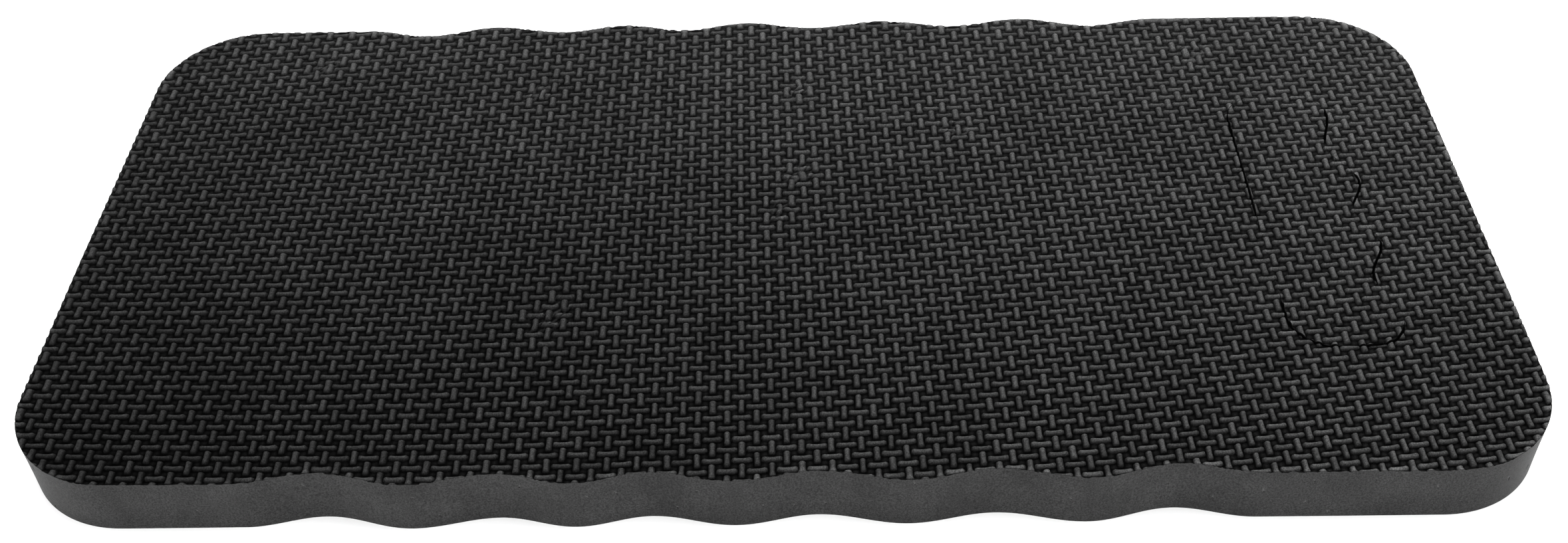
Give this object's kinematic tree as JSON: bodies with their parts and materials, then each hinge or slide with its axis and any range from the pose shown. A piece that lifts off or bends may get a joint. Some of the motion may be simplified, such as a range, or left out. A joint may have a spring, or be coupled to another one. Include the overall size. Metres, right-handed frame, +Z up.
{
  "type": "kneeling pad",
  "caption": "Flat foam garden kneeling pad with rounded corners, finger waves along both long edges and a die-cut hand hole still filled by its foam plug.",
  "frame": {"origin": "middle of the pad's underside", "axes": "+X along the pad's length towards the end with the hand hole, +Y across it from the near long edge to the far one, +Z up from the underside to the woven kneeling face"},
  "size_m": [0.45, 0.2192, 0.02],
  "materials": {
    "foam": "matte closed-cell EVA foam, charcoal black, embossed with a plain basket weave on top, dull and finely pored on its cut sides"
  },
  "bodies": {
    "pad": {"pad_slab": "foam"},
    "plug": {"hand_hole_plug": "foam"}
  },
  "joints": [
    {"name": "plug_lift", "type": "slide", "parent": "pad", "child": "plug", "axis": [0, 0, 1], "range_m": [0, 0.03]}
  ]
}
